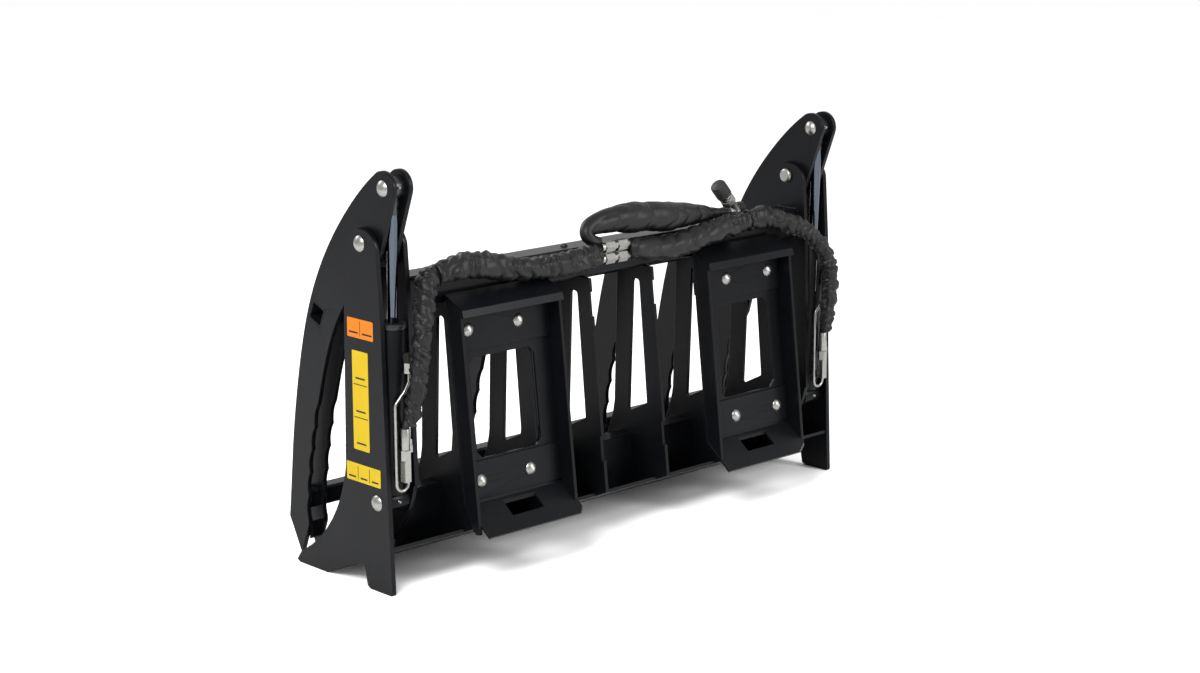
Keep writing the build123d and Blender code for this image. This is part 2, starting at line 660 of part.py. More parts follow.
def cylinder_parts():
    """Hydraulic cylinders: barrel side and rod side."""
    pin_span = math.dist(BASE_PIN, ROD_PIN)
    eye_w = 2 * (CYL_X - INNER_OUT) - 2 * SIDE_GAP - 8
    rod_eye_w = ARM_OUT_IN - ARM_IN_OUT - 2 * SIDE_GAP
    cap_top = 52.0
    piston_top = BARREL_TOP - GLAND_L - 6
    for side, sign in SIDES.items():
        here = cylinder_plane(sign * CYL_X)
        base_eye = cross_bore(0, EYE_R, eye_w) + tube_between(18, cap_top, BARREL_R)
        base_eye -= cross_bore(0, PIN_R + FIT, eye_w + 2)
        tube = tube_between(cap_top, BARREL_TOP - 12, BARREL_R, BARREL_R - BARREL_WALL)
        bore_r = BARREL_R - BARREL_WALL
        gland = tube_between(BARREL_TOP - GLAND_L, BARREL_TOP - 12, bore_r, ROD_R + FIT)
        gland += tube_between(BARREL_TOP - 12, BARREL_TOP, BARREL_R + 2, ROD_R + FIT)
        parts[f"cylinder_barrel_{side}"] = here * (base_eye + tube)
        parts[f"cylinder_gland_{side}"] = here * gland
        rod_eye = cross_bore(pin_span, EYE_R, rod_eye_w)
        rod_eye += tube_between(pin_span - 42, pin_span, 15)
        rod_eye -= cross_bore(pin_span, PIN_R + SLIP, rod_eye_w + 2)
        parts[f"rod_pin_{side}"] = here * cross_bore(pin_span, PIN_R, rod_eye_w)
        rod = tube_between(piston_top - PISTON_L, pin_span - 42, ROD_R)
        parts[f"rod_{side}"] = here * (rod_eye + rod)
        piston = tube_between(piston_top - PISTON_L, piston_top, bore_r - FIT, ROD_R)
        parts[f"piston_{side}"] = here * piston


# ---- hoses and fittings ----
def route(points, name):
    """Smooth path: straight runs joined by arcs as large as the runs allow."""
    spots = [Vector(*point) for point in points]
    radii = []
    for before, here, after in zip(spots, spots[1:], spots[2:]):
        turn = math.radians((here - before).get_angle(after - here))
        run = min((here - before).length, (after - here).length)
        radii.append(0.45 * run / math.tan(turn / 2))
    print(name, "radii:", ", ".join(f"{radius:.0f}" for radius in radii))
    return FilletPolyline(*points, radius=radii)


def hose(points, radius, name):
    """Round solid along a route."""
    path = route(points, name)
    return sweep(Plane(path @ 0, z_dir=path % 0) * Circle(radius), path=path)


def upright(place, low, high, radius):
    """Vertical bar at place = (x, y) between two heights."""
    return Pos(place[0], place[1], low) * extrude(Circle(radius), amount=high - low)


def upright_hex(place, low, high, corner_r):
    """Vertical hexagon at place = (x, y) between two heights."""
    return Pos(place[0], place[1], low) * extrude(RegularPolygon(corner_r, 6), amount=high - low)


def plumbing(side, sign):
    """Steel line and hose ends that ride on one barrel."""
    x = sign * CYL_X
    line_y = 3
    top_y = -1
    port_y = 8
    leg = x - 24.5
    back_leg = x + 9
    low = 262
    bend = (back_leg - leg) / 2
    line = [
        (x + 13, top_y, 520),
        (x + 13, top_y, 500),
        (x + 2, top_y + 2, 478),
        (leg, line_y, 450),
        (leg, line_y, 430),
    ]
    upper = FilletPolyline(*line, radius=[14, 40, 14])
    path = [
        upper,
        Line((leg, line_y, 430), (leg, line_y, low)),
        ThreePointArc((leg, line_y, low), (leg + bend, line_y, low - bend), (back_leg, line_y, low)),
        Line((back_leg, line_y, low), (back_leg, line_y, 335)),
    ]
    edges = [edge for item in path for edge in item.edges()]
    wire = Wire(edges)
    tube = sweep(Plane(wire @ 0, z_dir=wire % 0) * Circle(STEEL_LINE_R), path=wire)
    parts[f"steel_line_{side}"] = tube
    elbow = Pos(x + 13, top_y, 555) * Box(17, 17, 22)
    elbow += Pos(x + 13, 13, 557) * Rot(90, 0, 0) * Cylinder(7.5, 22)
    fill = cylinder_plane(x) * tube_between(0, BARREL_TOP + 1, BARREL_R)
    ends = [
        elbow - fill,
        upright_hex((x + 13, top_y), 520, 544, 12.5),
        upright_hex((back_leg, line_y), 335, 352, 12.5),
        upright_hex((back_leg, line_y), 352.5, 366, 11),
        upright((back_leg, line_y), 366.5, 396, 9),
    ]
    port_x = x - 8
    base_y = -13
    ends += [
        upright((port_x - 2, base_y), 346, 396, 10),
        upright_hex((port_x - 2, base_y), 322, 345.5, 12.5),
        (Pos(port_x - 2, base_y, 296) * Box(17, 17, 50.8)
         + Pos(port_x - 2, port_y, 280) * Rot(90, 0, 0) * Cylinder(7.5, 50)) - fill,
    ]
    parts[f"hose_ends_{side}"] = ends


def unions():
    """Two stacked hose unions between the two halves of the middle sleeve."""
    pieces = []
    for height in (727, 698):
        at = (8, height)
        pieces.append(disc(at, -93, 90, HOSE_R))
        for low in (-84, -42):
            pieces.append(hexagon(at, low, 30, 14.2) - disc(at, low, 30, HOSE_R))
    return pieces


def couplers():
    """Quick couplers on the two supply hoses: one stands up on an elbow, the other lies along."""
    lean = math.radians(COUPLER_TILT)
    ends = []
    hoses = []
    for points in SUPPLY_HOSES:
        path = route(points, "supply hose")
        hoses.append(sweep(Plane(path @ 0, z_dir=path % 0) * Circle(HOSE_R), path=path))
        ends.append(Plane(path @ 1, z_dir=path % 1))
    elbow = ends[0].origin + ends[0].z_dir * 34
    stand = Plane(origin=elbow, x_dir=(0, 1, 0), z_dir=(-math.sin(lean), 0, math.cos(lean)))
    lying = ends[1]
    parts["supply_hoses"] = hoses
    upper = stand * (tube_between(0, 34, 13) + tube_between(34, 66, 17))
    parts["quick_couplers"] = [
        upper + Pos(*elbow) * Sphere(14) + ends[0] * tube_between(0.3, 34, 12),
        lying * (tube_between(0.3, 28, 12) + tube_between(28, 50, 15)),
    ]
    parts["dust_caps"] = [stand * tube_between(66.2, 104, 18.5), lying * tube_between(50.2, 74, 16)]
    band = tube_between(-14, 14, SLEEVE_R + 3, SLEEVE_R + 0.4)
    bands = []
    for near, far in (SLEEVE_MIDDLE_LEFT[:2], SLEEVE_MIDDLE_RIGHT[:-3:-1]):
        along = Vector(*far) - Vector(*near)
        bands.append(Plane(origin=Vector(*near), z_dir=along) * band)
    parts["hose_clips"] = bands


frame_parts()
frame_pins()
jaw_parts()
cylinder_parts()
parts["hose_sleeve_left"] = hose(SLEEVE_LEFT, DROP_R, "left sleeve")
parts["hose_sleeve_right"] = hose(SLEEVE_RIGHT, DROP_R, "right sleeve")
parts["hose_sleeve_middle"] = [
    hose(SLEEVE_MIDDLE_LEFT, SLEEVE_R, "middle sleeve, left half"),
    hose(SLEEVE_MIDDLE_RIGHT, SLEEVE_R, "middle sleeve, right half"),
]
parts["supply_sleeve"] = hose(SUPPLY_SLEEVE, SUPPLY_R, "supply sleeve")
for side, sign in SIDES.items():
    plumbing(side, sign)
parts["hose_unions"] = unions()
couplers()

everything = []
for solids in parts.values():
    everything.extend(solids if isinstance(solids, list) else [solids])
middle_y = Compound(everything).bounding_box().center().Y
print(f"Y of the origin from the rear edge of the feet: {middle_y:.3f}")

os.makedirs("parts", exist_ok=True)
for name, solids in parts.items():
    group = solids if isinstance(solids, list) else [solids]
    pieces = [piece for item in group for piece in item.solids()]
    export_step(Pos(0, -middle_y, 0) * Compound(pieces), f"parts/{name}.step")
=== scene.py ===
import json
import math

import bpy
import numpy as np
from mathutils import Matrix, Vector, noise


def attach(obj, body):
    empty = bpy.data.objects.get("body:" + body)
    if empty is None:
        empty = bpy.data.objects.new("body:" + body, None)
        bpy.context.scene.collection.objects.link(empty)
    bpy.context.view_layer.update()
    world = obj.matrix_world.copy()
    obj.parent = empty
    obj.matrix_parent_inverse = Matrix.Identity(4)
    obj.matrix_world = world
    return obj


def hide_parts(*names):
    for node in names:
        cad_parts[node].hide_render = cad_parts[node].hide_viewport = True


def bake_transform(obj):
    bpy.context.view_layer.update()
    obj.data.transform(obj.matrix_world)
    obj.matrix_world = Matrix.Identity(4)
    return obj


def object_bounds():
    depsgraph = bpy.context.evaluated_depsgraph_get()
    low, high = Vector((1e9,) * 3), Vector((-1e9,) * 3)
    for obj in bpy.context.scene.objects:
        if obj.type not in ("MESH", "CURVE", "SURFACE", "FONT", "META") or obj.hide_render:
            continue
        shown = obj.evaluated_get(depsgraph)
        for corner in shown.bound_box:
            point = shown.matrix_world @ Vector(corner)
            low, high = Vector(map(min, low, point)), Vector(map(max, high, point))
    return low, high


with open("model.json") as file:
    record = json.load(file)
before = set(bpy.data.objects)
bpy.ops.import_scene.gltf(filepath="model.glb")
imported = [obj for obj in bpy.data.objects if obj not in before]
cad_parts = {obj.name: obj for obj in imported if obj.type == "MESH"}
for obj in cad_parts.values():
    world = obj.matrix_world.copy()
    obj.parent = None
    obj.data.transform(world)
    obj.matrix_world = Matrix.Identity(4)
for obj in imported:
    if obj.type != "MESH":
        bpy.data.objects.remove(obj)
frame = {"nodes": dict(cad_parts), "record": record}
CAD_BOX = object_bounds()
nodes = frame["nodes"]

MM = 0.001
MIDDLE_Y = 154.061          # the row's origin, from the rear edge of the feet, in mm
CYLINDER_X = 716.7          # middle of each cylinder
BASE_PIN = (50.0, 213.0)    # y and z of the pin at the foot of a cylinder
CYLINDER_LEAN = 20.6 / 729.2
BARREL_R = 30.0
PLATE_X = -762              # outer face of the left end plate
INNER_PLATE_X = 669         # inboard face of an inner end plate
RIB_PITCH = 212.4
RIB_COUNT = 6
HALF_RIB = 4.75
NECK_Z = 0.88               # where the rods' black paint ends, in metres


def at(x, y, z):
    """Point given in mm from the rear edge of the feet, in metres in the row frame."""
    return Vector((x * MM, (y - MIDDLE_Y) * MM, z * MM))


# ---- camera ----
camera_data = bpy.data.cameras.new("camera")
camera = bpy.data.objects.new("camera", camera_data)
bpy.context.scene.collection.objects.link(camera)
camera.location = at(-3943, -4038, 1784)
camera_data.lens = 70.4
camera_data.sensor_width = 36.0
camera_data.sensor_fit = "HORIZONTAL"
camera.rotation_euler = (math.radians(90 - 12.88), 0, math.radians(-43.55))
camera_data.clip_end = 200
bpy.context.scene.camera = camera


# ---- node helpers ----
class Shader:
    """Small helper that builds a material's node tree."""

    def __init__(self, name):
        self.material = bpy.data.materials.new(name)
        self.material.use_nodes = True
        self.tree = self.material.node_tree
        self.bsdf = self.tree.nodes["Principled BSDF"]
        self.coords = self.add("ShaderNodeTexCoord").outputs["Object"]

    def add(self, kind, **values):
        node = self.tree.nodes.new(kind)
        for key, value in values.items():
            setattr(node, key, value)
        return node

    def link(self, source, target):
        self.tree.links.new(source, target)

    def set(self, **values):
        for key, value in values.items():
            self.bsdf.inputs[key.replace("_", " ")].default_value = value

    def noise(self, scale, detail=3, roughness=0.5, stretch=None):
        node = self.add("ShaderNodeTexNoise")
        node.inputs["Scale"].default_value = scale
        node.inputs["Detail"].default_value = detail
        node.inputs["Roughness"].default_value = roughness
        source = self.coords
        if stretch:
            mapping = self.add("ShaderNodeMapping")
            mapping.inputs["Scale"].default_value = stretch
            self.link(source, mapping.inputs["Vector"])
            source = mapping.outputs["Vector"]
        self.link(source, node.inputs["Vector"])
        return node.outputs["Fac"]

    def voronoi(self, scale):
        node = self.add("ShaderNodeTexVoronoi")
        node.inputs["Scale"].default_value = scale
        self.link(self.coords, node.inputs["Vector"])
        return node.outputs["Distance"]

    def ramp(self, source, stops):
        node = self.add("ShaderNodeValToRGB")
        elements = node.color_ramp.elements
        while len(elements) < len(stops):
            elements.new(0.5)
        for element, (place, colour) in zip(elements, stops):
            element.position = place
            element.color = (*colour, 1) if len(colour) == 3 else colour
        self.link(source, node.inputs["Fac"])
        return node.outputs["Color"]

    def scale_to(self, source, low, high, from_low=0.0, from_high=1.0):
        node = self.add("ShaderNodeMapRange")
        node.inputs["From Min"].default_value = from_low
        node.inputs["From Max"].default_value = from_high
        node.inputs["To Min"].default_value = low
        node.inputs["To Max"].default_value = high
        self.link(source, node.inputs["Value"])
        return node.outputs["Result"]

    def math(self, operation, first, second):
        node = self.add("ShaderNodeMath", operation=operation)
        for socket, value in zip(node.inputs, (first, second)):
            if isinstance(value, (int, float)):
                socket.default_value = value
            else:
                self.link(value, socket)
        return node.outputs["Value"]

    def mix(self, factor, first, second):
        node = self.add("ShaderNodeMix", data_type="RGBA")
        sockets = (node.inputs["Factor"], node.inputs[6], node.inputs[7])
        for socket, value in zip(sockets, (factor, first, second)):
            if isinstance(value, (int, float)):
                socket.default_value = value
            elif isinstance(value, tuple):
                socket.default_value = (*value, 1)
            else:
                self.link(value, socket)
        return node.outputs[2]

    def bump(self, height, strength, distance):
        node = self.add("ShaderNodeBump")
        node.inputs["Strength"].default_value = strength
        node.inputs["Distance"].default_value = distance
        self.link(height, node.inputs["Height"])
        old = self.bsdf.inputs["Normal"].links
        if old:
            self.link(old[0].from_socket, node.inputs["Normal"])
        self.link(node.outputs["Normal"], self.bsdf.inputs["Normal"])


def black_paint():
    """Semi-gloss powder coat: faint orange peel and dust film."""
    s = Shader("black_powder_coat")
    cloud = s.noise(5, 5, 0.6)
    dust = s.noise(60, 6, 0.7)
    base = s.ramp(cloud, [(0.3, (0.0018, 0.0020, 0.0026)), (0.75, (0.0034, 0.0038, 0.0048))])
    s.link(base, s.bsdf.inputs["Base Color"])
    rough = s.math("ADD", s.scale_to(cloud, 0.27, 0.36), s.scale_to(dust, -0.02, 0.05))
    s.link(rough, s.bsdf.inputs["Roughness"])
    s.set(Specular_IOR_Level=0.1, IOR=1.5)
    s.bump(s.noise(260, 2, 0.5), 0.12, 0.0004)
    s.bump(s.noise(14, 2, 0.5), 0.05, 0.004)
    return s.material


def metal(name, low, high, rough_low, rough_high, stretch=None, scale=220):
    """Metal with brushed or mottled grain."""
    s = Shader(name)
    grain = s.noise(scale, 4, 0.6, stretch=stretch)
    cloud = s.noise(30, 3)
    s.link(s.mix(grain, low, high), s.bsdf.inputs["Base Color"])
    s.link(s.math("ADD", s.scale_to(grain, rough_low, rough_high), s.scale_to(cloud, -0.04, 0.05)),
           s.bsdf.inputs["Roughness"])
    s.set(Metallic=1.0)
    s.bump(grain, 0.08, 0.0003)
    return s.material


paint = black_paint()
zinc = metal("zinc_plate", (0.15, 0.15, 0.142), (0.34, 0.335, 0.32), 0.24, 0.4)
# The chrome's dark blue-grey base colour is painted reflection: it stands in for the dark surroundings
# mirrored in the rod.
chrome = metal("chromed_rod", (0.05, 0.062, 0.076), (0.08, 0.094, 0.112), 0.07, 0.12, stretch=(1, 1, 0.1))
bare = metal("machined_steel", (0.10, 0.10, 0.10), (0.17, 0.17, 0.17), 0.3, 0.45)
bronze = metal("bronze", (0.45, 0.3, 0.13), (0.6, 0.42, 0.2), 0.25, 0.4)


def rod_finish():
    """Chromed rod whose eye and neck are painted black with the eye."""
    s = Shader("rod_chrome_and_painted_eye")
    grain = s.noise(220, 4, 0.6, stretch=(1, 1, 0.1))
    spots = s.noise(40, 3)
    split = s.add("ShaderNodeSeparateXYZ")
    s.link(s.coords, split.inputs["Vector"])
    edge = s.math("ADD", split.outputs["Z"], s.scale_to(spots, -0.0008, 0.0008))
    painted = s.scale_to(edge, 0, 1, NECK_Z - 0.0005, NECK_Z + 0.0005)
    # Dark blue-grey chrome colour is painted reflection of the dark surroundings; the black eye paint is
    # real.
    chrome_painted_reflection = s.mix(grain, (0.05, 0.062, 0.076), (0.08, 0.094, 0.112))
    s.link(s.mix(painted, chrome_painted_reflection, (0.005, 0.0055, 0.0065)), s.bsdf.inputs["Base Color"])
    s.link(s.scale_to(painted, 1, 0), s.bsdf.inputs["Metallic"])
    rough = s.math("ADD", s.scale_to(painted, 0.08, 0.33), s.scale_to(spots, 0, 0.04))
    s.link(rough, s.bsdf.inputs["Roughness"])
    s.bump(grain, 0.05, 0.0002)
    return s.material


def oxide():
    s = Shader("black_oxide_steel")
    grain = s.noise(300, 3)
    base = s.ramp(grain, [(0.3, (0.005, 0.005, 0.006)), (0.8, (0.012, 0.012, 0.014))])
    s.link(base, s.bsdf.inputs["Base Color"])
    s.link(s.scale_to(grain, 0.28, 0.42), s.bsdf.inputs["Roughness"])
    s.set(Specular_IOR_Level=0.3)
    s.bump(grain, 0.08, 0.0003)
    return s.material


def fabric():
    """Woven nylon hose sleeve."""
    s = Shader("woven_nylon")
    mottle = s.noise(40, 4, 0.6)
    base = s.ramp(mottle, [(0.3, (0.0025, 0.0025, 0.0028)), (0.8, (0.0055, 0.0055, 0.006))])
    s.link(base, s.bsdf.inputs["Base Color"])
    s.link(s.scale_to(mottle, 0.36, 0.5), s.bsdf.inputs["Roughness"])
    s.set(Specular_IOR_Level=0.2)
    weave = s.voronoi(900)
    s.bump(weave, 0.25, 0.0005)
    s.bump(s.noise(70, 2, 0.5), 0.15, 0.002)
    return s.material


def rubber(name="black_rubber", rough=0.45):
    s = Shader(name)
    grain = s.noise(400, 3)
    base = s.ramp(grain, [(0.3, (0.007, 0.007, 0.007)), (0.8, (0.015, 0.015, 0.015))])
    s.link(base, s.bsdf.inputs["Base Color"])
    s.link(s.scale_to(grain, rough - 0.06, rough + 0.08), s.bsdf.inputs["Roughness"])
    s.set(Specular_IOR_Level=0.25)
    s.bump(grain, 0.15, 0.0003)
    return s.material


MATERIALS = {
    "black_paint": paint,
    "black_steel": oxide(),
    "zinc_plate": zinc,
    "bare_steel": bare,
    "chromed_steel": chrome,
    "bronze": bronze,
    "sleeve_fabric": fabric(),
    "sleeve_tie": rubber("sleeve_tie", 0.5),
    "hose_rubber": rubber(),
}
slot_of = {part["node"]: part["material_slot"] for part in frame["record"]["subparts"]}
for name, obj in nodes.items():
    obj.data.materials.clear()
    obj.data.materials.append(MATERIALS[slot_of[name]])
rod_material = rod_finish()
for side in ("left", "right"):
    nodes[f"rod_{side}"].data.materials[0] = rod_material

# ---- modelled edges ----
for name, obj in nodes.items():
    if slot_of[name] in ("sleeve_fabric", "sleeve_tie", "hose_rubber"):
        continue
    weld = obj.modifiers.new("weld", "WELD")
    weld.merge_threshold = 0.00002
    bevel = obj.modifiers.new("bevel", "BEVEL")
    bevel.width = 0.0011 if slot_of[name] == "black_paint" else 0.0006
    bevel.segments = 2
    bevel.limit_method = "ANGLE"
    bevel.angle_limit = math.radians(40)
    bevel.harden_normals = True


# ---- sewn sleeves ----
def curve_through(points, spacing):
    """Evenly spaced positions along a smooth curve through points given in mm."""
    spots = [np.array(at(*point)) for point in points]
    spots = [2 * spots[0] - spots[1]] + spots + [2 * spots[-1] - spots[-2]]
    fine = []
    for a, b, c, d in zip(spots, spots[1:], spots[2:], spots[3:]):
        for t in np.linspace(0, 1, 40, endpoint=False):
            fine.append(0.5 * (2 * b + (c - a) * t + (2 * a - 5 * b + 4 * c - d) * t ** 2
                               + (3 * b - a - 3 * c + d) * t ** 3))
    fine = np.array(fine + [spots[-2]])
    travel = np.concatenate([[0], np.cumsum(np.linalg.norm(np.diff(fine, axis=0), axis=1))])
    count = int(travel[-1] / spacing)
    places = np.linspace(0, travel[-1], count + 1)
    return np.stack([np.interp(places, travel, fine[:, k]) for k in range(3)], axis=1), places


def mesh_object(name, vertices, faces, material, smooth=True):
    mesh = bpy.data.meshes.new(name)
    mesh.from_pydata([tuple(v) for v in vertices], [], faces)
    mesh.materials.append(material)
    mesh.polygons.foreach_set("use_smooth", [smooth] * len(mesh.polygons))
    mesh.update()
    obj = bpy.data.objects.new(name, mesh)
    bpy.context.scene.collection.objects.link(obj)
    return obj


def puff(p):
    """Rounded puffs with sharp creases between, from 0 to 1."""
    return min(1.0, abs(noise.noise(p)) * 2.4) ** 0.7


def sleeve(name, points, widths, gather, depth, seed, material, sides=56, spacing=0.0026, slant=0.5):
    """Fabric tube along points. widths: (share of the length, radius in mm) pairs.
    gather: mm between folds at the start and the end. depth: fold depth in mm at the start and the end."""
    places, travel = curve_through(points, spacing)
    total = travel[-1]
    tangents = np.gradient(places, axis=0)
    tangents /= np.linalg.norm(tangents, axis=1)[:, None]
    side = np.cross(tangents[0], (0, 0, 1))
    if np.linalg.norm(side) < 0.2:
        side = np.array((1.0, 0, 0))
    vertices = []
    phase = 0.0
    for i, (place, tangent) in enumerate(zip(places, tangents)):
        side = side - tangent * np.dot(side, tangent)
        side /= np.linalg.norm(side)
        up = np.cross(side, tangent)
        share = travel[i] / total
        radius = np.interp(share, [w[0] for w in widths], [w[1] for w in widths]) * MM
        pitch = np.interp(share, (0, 1), gather) * MM
        fold = np.interp(share, (0, 1), depth) * MM
        phase += spacing / pitch
        lump = 1 + 0.07 * noise.noise((travel[i] * 11 + seed, seed, 0.3))
        for k in range(sides):
            turn = 2 * math.pi * k / sides
            cos, sin = math.cos(turn), math.sin(turn)
            across = phase + slant * (cos * 0.9 + noise.noise((cos * 1.1 + seed, sin * 1.1, phase * 0.2)))
            main = puff((across * 1.0 + seed * 3.1, cos * 0.42, sin * 0.42 + phase * 0.08))
            fine = puff((across * 1.9 + seed, cos * 0.8 + 4, sin * 0.8))
            long = noise.noise((phase * 0.16 + seed, cos * 1.8, sin * 1.8))
            offset = fold * (1.3 * (main - 0.72) + 0.25 * (fine - 0.7) + 0.45 * long)
            reach = radius * lump + offset
            vertices.append(place + (side * cos + up * sin) * reach)
    faces = []
    for i in range(len(places) - 1):
        for k in range(sides):
            a, b = i * sides + k, i * sides + (k + 1) % sides
            faces.append((a, b, b + sides, a + sides))
    last = (len(places) - 1) * sides
    faces.append(tuple(range(sides - 1, -1, -1)))
    faces.append(tuple(range(last, last + sides)))
    obj = mesh_object(name, vertices, faces, material)
    return obj


cloth = MATERIALS["sleeve_fabric"]
middle_left = sleeve(
    "sleeve_middle_left",
    [(-600, 13, 728), (-560, 13, 738), (-500, 13, 738), (-430, 13, 727), (-384, 13, 716), (-290, 13, 704),
     (-190, 13, 702), (-96, 13, 711)],
    [(0, 22), (0.03, 25), (0.1, 31), (0.3, 33), (0.55, 27), (0.85, 29), (0.97, 29), (1, 22)],
    (36, 17), (6.0, 6.5), 3, cloth)
middle_right = sleeve(
    "sleeve_middle_right",
    [(2, 13, 713), (94, 13, 700), (180, 12, 698), (262, 10, 712), (344, 12, 724), (440, 13, 730)],
    [(0, 22), (0.03, 29), (0.3, 31), (0.6, 30), (0.9, 29), (1, 21)],
    (64, 26), (3.5, 6.5), 11, cloth)
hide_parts("hose_sleeve_middle")
for piece in (middle_left, middle_right):
    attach(piece, "frame")

drop_left = sleeve(
    "sleeve_drop_left",
    [(-606, 13, 732), (-638, 5, 723), (-661, -16, 690), (-683, -31, 630), (-697, -36, 560), (-707, -33, 486),
     (-716, -21, 404)],
    [(0, 22), (0.08, 27), (0.2, 23), (0.35, 22.5), (0.6, 22), (0.8, 21.5), (0.93, 20), (1, 14)],
    (20, 15), (6.0, 5.5), 23, cloth, sides=44, spacing=0.0022)
drop_right = sleeve(
    "sleeve_drop_right",
    [(440, 13, 730), (495, 13, 731), (556, 8, 714), (620, -6, 688), (676, -22, 641), (702, -34, 576),
     (702, -36, 506), (699, -28, 404)],
    [(0, 22), (0.08, 29), (0.3, 26), (0.45, 22), (0.6, 21.5), (0.8, 21.5), (0.93, 20), (1, 14)],
    (22, 15), (6.0, 5.5), 31, cloth, sides=44, spacing=0.0022)
for piece, side in ((drop_left, "left"), (drop_right, "right")):
    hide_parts(f"hose_sleeve_{side}")
    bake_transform(piece)

supply = sleeve(
    "supply_sleeve_cover",
    [(-84, 26, 735), (-103, 30, 743), (-114, 37, 761), (-92, 43, 776), (-36, 44, 783), (60, 44, 780),
     (160, 43, 770), (262, 46, 763), (330, 50, 757), (400, 58, 749)],
    [(0, 15), (0.08, 19), (0.2, 30), (0.4, 39), (0.6, 37), (0.75, 29), (0.9, 16), (1, 10)],
    (70, 45), (3.5, 4.0), 41, cloth)
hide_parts("supply_sleeve")
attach(supply, "frame")

# ---- sleeve ties ----
def tie(name, place, along, radius, seed):
    """Gathered cord tied round the sleeves where two of them meet."""
    direction = Vector(along).normalized()
    turn = direction.to_track_quat("Z", "Y")
    centre = at(*place)
    vertices, faces = [], []
    rings, sides = 72, 12
    for i in range(rings):
        a = 2 * math.pi * i / rings
        for k in range(sides):
            b = 2 * math.pi * k / sides
            wave = noise.noise((math.cos(a) * 2.4 + seed, math.sin(a) * 2.4, 0.4 * math.cos(b)))
            thick = (5.2 + 2.6 * wave) * MM
            reach = (radius + 1.6 * wave) * MM + thick * math.cos(b)
            high = thick * 1.5 * math.sin(b) + 0.002 * wave
            spot = Vector((math.cos(a) * reach, math.sin(a) * reach, high))
            vertices.append(centre + turn @ spot)
            faces.append((i * sides + k, i * sides + (k + 1) % sides,
                          (i + 1) % rings * sides + (k + 1) % sides, (i + 1) % rings * sides + k))
    obj = mesh_object(name, vertices, faces, cloth)
    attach(obj, "frame")
    return obj


tie_left = tie("sleeve_tie_left", (-603, 12, 730), (58, 0, 7), 23, 5)
tie("sleeve_tie_right", (436, 13, 730), (86, 0, 6), 23, 9)
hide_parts("hose_clips")


# ---- small fittings ----
def lathe(name, base, along, profile, material, body, sides=32, knurl=0):
    """Turned piece: profile is (height, radius) pairs in mm from base along a direction."""
    turn = Vector(along).normalized().to_track_quat("Z", "Y")
    centre = at(*base)
    vertices, faces = [], []
    for height, radius in profile:
        for k in range(sides):
            a = 2 * math.pi * k / sides
            r = radius - (knurl if k % 2 else 0)
            spot = Vector((math.cos(a) * r * MM, math.sin(a) * r * MM, height * MM))
            vertices.append(centre + turn @ spot)
    for i in range(len(profile) - 1):
        for k in range(sides):
            a, b = i * sides + k, i * sides + (k + 1) % sides
            faces.append((a, b, b + sides, a + sides))
    last = (len(profile) - 1) * sides
    faces.append(tuple(range(sides - 1, -1, -1)))
    faces.append(tuple(range(last, last + sides)))
    obj = mesh_object(name, vertices, faces, material, smooth=knurl == 0)
    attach(obj, body)
    return obj


lean = math.radians(42)
elbow = (439.6, 62.7, 745.2)
stand_axis = (-math.sin(lean), 0, math.cos(lean))
ribs = [(65.5, 17.5), (66, 20.6)]
for i in range(6):
    start = 69 + 5.4 * i
    ribs += [(start, 20.8), (start + 2.6, 20.8), (start + 3.0, 18.6), (start + 5.0, 18.6)]
ribs += [(102, 20.2), (104.6, 17.8), (105, 0.5)]
lathe("dust_cap_ribs", elbow, stand_axis, ribs, MATERIALS["sleeve_tie"], "frame", sides=40)
collar = [(37, 16.9), (37.6, 19), (51, 19), (51.8, 17.2), (55, 17.2), (55.6, 18.6), (60, 18.6), (60.6, 16.9)]
lathe("coupler_collar", elbow, stand_axis, collar, zinc, "frame", sides=72, knurl=0.7)
lathe("tube_plug", (-140, 90, 725.4), (0, 0, 1), [(0, 9), (1.5, 9), (5, 8), (7, 5), (7.6, 0.5)],
      MATERIALS["black_steel"], "frame")
for sign, side in ((-1, "left"), (1, "right")):
    nipple = [(0, 4.6), (2.5, 4.6), (3, 3.4), (5, 3.4), (6.5, 2.4), (7.2, 0.4)]
    low_place = (sign * CYLINDER_X, 25.4, 213)
    top_place = (sign * CYLINDER_X, 4.8, 944)
    lathe(f"grease_nipple_low_{side}", low_place, (0, -1, 0), nipple, zinc,
          f"barrel_{side}", sides=20)
    lathe(f"grease_nipple_top_{side}", top_place, (0, -1, 0.1), nipple, zinc,
          f"rod_{side}", sides=20)


# ---- hoses between the ferrules and the drop sleeves ----
HOSE_STUBS = {
    "left": [((-707.7, 3, 394), (-717, -24, 440)), ((-726.7, -13, 394), (-718, -27, 440))],
    "right": [((725.7, 3, 394), (702, -29, 440)), ((706.7, -13, 394), (700, -31, 440))],
}
for side, stubs in HOSE_STUBS.items():
    for number, (low, high) in enumerate(stubs):
        along = Vector(high) - Vector(low)
        profile = [(0, 7.8), (along.length, 7.8)]
        lathe(f"hose_stub_{side}_{number}", low, along, profile, MATERIALS["hose_rubber"],
              f"barrel_{side}", sides=28)


# ---- plain coloured labels ----
def label_film(name, low, high):
    """Printed vinyl with a faint sheen variation."""
    s = Shader(name)
    cloud = s.noise(18, 4, 0.6)
    s.link(s.mix(cloud, low, high), s.bsdf.inputs["Base Color"])
    s.link(s.scale_to(cloud, 0.34, 0.46), s.bsdf.inputs["Roughness"])
    s.set(Specular_IOR_Level=0.12)
    return s.material


yellow = label_film("yellow_film", (0.36, 0.25, 0.0), (0.41, 0.285, 0.002))
orange = label_film("orange_film", (0.42, 0.11, 0.002), (0.47, 0.13, 0.004))
white_film = label_film("white_film", (0.42, 0.44, 0.44), (0.52, 0.54, 0.54))
ink = label_film("ink_film", (0.006, 0.006, 0.006), (0.012, 0.012, 0.012))


